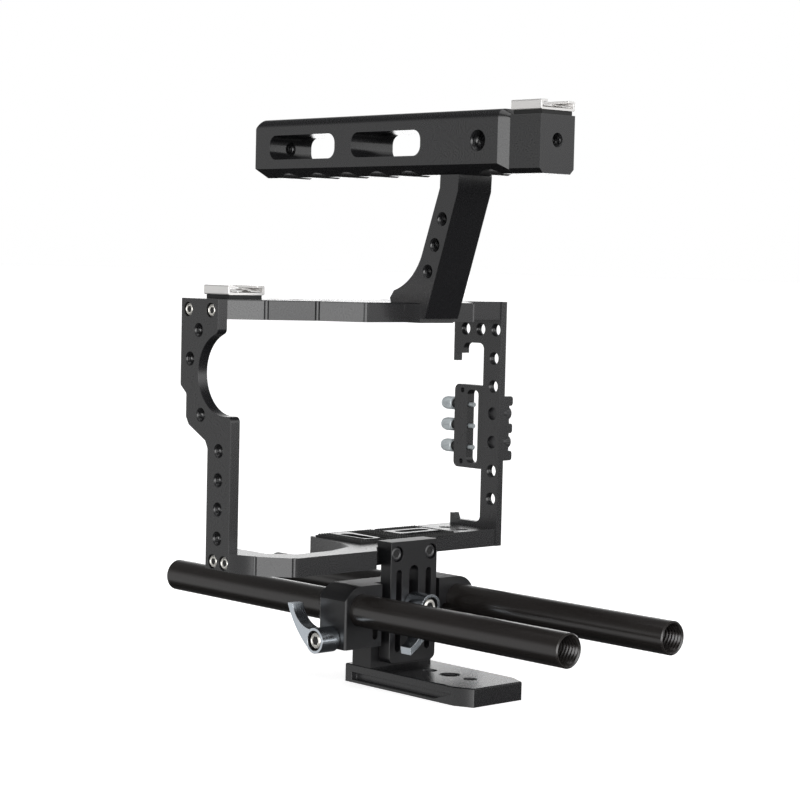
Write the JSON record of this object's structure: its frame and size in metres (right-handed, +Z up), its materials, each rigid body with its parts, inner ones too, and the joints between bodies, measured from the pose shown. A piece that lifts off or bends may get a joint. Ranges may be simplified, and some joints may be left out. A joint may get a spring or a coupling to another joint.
{
  "type": "cinema camera rig",
  "caption": "Cinema camera rig: a camera cage with top handle and cold shoes on a dovetail base, with a height-adjustable clamp for 15 mm rods and a cable clamp.",
  "frame": {"origin": "centre of the 3/8 tripod thread's mouth on the underside of the dovetail base, midway between the rods", "axes": "+X right seen from the lens side towards the operator, +Y back along the rods, +Z up"},
  "size_m": [0.1794, 0.2705, 0.2656],
  "materials": {
    "cage_black": "black anodised, fine blast",
    "rod_black": "black anodised, satin, fine turning marks",
    "grey_lever": "metallic grey, bright edges",
    "silver_screw": "turned steel",
    "black_screw": "black oxide",
    "bright_shoe": "folded bright steel",
    "black_rubber": "ribbed rubber"
  },
  "bodies": {
    "base": {"base_plate": "cage_black", "base_screws": "black_screw", "rod_clamp_block": "cage_black", "guide_pins": "silver_screw"},
    "rod_left": {"rod_left": "rod_black"},
    "rod_right": {"rod_right": "rod_black"},
    "lever_left": {"rod_lever_left": "grey_lever", "rod_lever_left_screw": "silver_screw"},
    "lever_right": {"rod_lever_right": "grey_lever", "rod_lever_right_screw": "silver_screw"},
    "height_lock": {"height_lever": "grey_lever", "height_lever_screw": "silver_screw"},
    "thumbscrew_bottom": {"cable_thumbscrew_bottom": "silver_screw"},
    "thumbscrew_middle": {"cable_thumbscrew_middle": "silver_screw"},
    "thumbscrew_top": {"cable_thumbscrew_top": "silver_screw"},
    "cage": {"bottom_plate": "cage_black", "cable_clamp_body": "cage_black", "cable_clamp_screws": "black_screw", "cage_shoe_base": "cage_black", "cage_shoe_channel": "bright_shoe", "cage_shoe_screws": "silver_screw", "handle_grip": "cage_black", "handle_screws": "black_screw", "handle_shoe_base": "cage_black", "handle_shoe_channel": "bright_shoe", "handle_shoe_screws": "silver_screw", "handle_strut": "cage_black", "pad_left": "black_rubber", "pad_right": "black_rubber", "riser_plate": "cage_black", "riser_screws": "black_screw", "side_plate_left": "cage_black", "side_plate_right": "cage_black", "side_screws_left": "silver_screw", "side_screws_right": "silver_screw", "strut_screws": "black_screw", "top_plate": "cage_black"}
  },
  "joints": [
    {"name": "rod_left_slide", "type": "slide", "parent": "base", "child": "rod_left", "axis": [0, 1, 0], "range_m": [-0.11, 0.11]},
    {"name": "rod_right_slide", "type": "slide", "parent": "base", "child": "rod_right", "axis": [0, 1, 0], "range_m": [-0.11, 0.11]},
    {"name": "rod_lever_left_turn", "type": "hinge", "parent": "base", "child": "lever_left", "pos_m": [-0.045, 0.0363, 0.0238], "axis": [-1, 0, 0], "range_deg": [-90, 90]},
    {"name": "rod_lever_right_turn", "type": "hinge", "parent": "base", "child": "lever_right", "pos_m": [0.045, 0.0363, 0.0238], "axis": [1, 0, 0], "range_deg": [-90, 90]},
    {"name": "height_lever_turn", "type": "hinge", "parent": "base", "child": "height_lock", "pos_m": [0, 0.02, 0.0376], "axis": [0, -1, 0], "range_deg": [-30, 75]},
    {"name": "cage_height", "type": "slide", "parent": "base", "child": "cage", "axis": [0, 0, 1], "range_m": [0, 0.019]},
    {"name": "thumbscrew_bottom_feed", "type": "slide", "parent": "cage", "child": "thumbscrew_bottom", "axis": [0, 1, 0], "range_m": [0, 0.0027]},
    {"name": "thumbscrew_middle_feed", "type": "slide", "parent": "cage", "child": "thumbscrew_middle", "axis": [0, 1, 0], "range_m": [0, 0.0027]},
    {"name": "thumbscrew_top_feed", "type": "slide", "parent": "cage", "child": "thumbscrew_top", "axis": [0, 1, 0], "range_m": [0, 0.0027]}
  ]
}
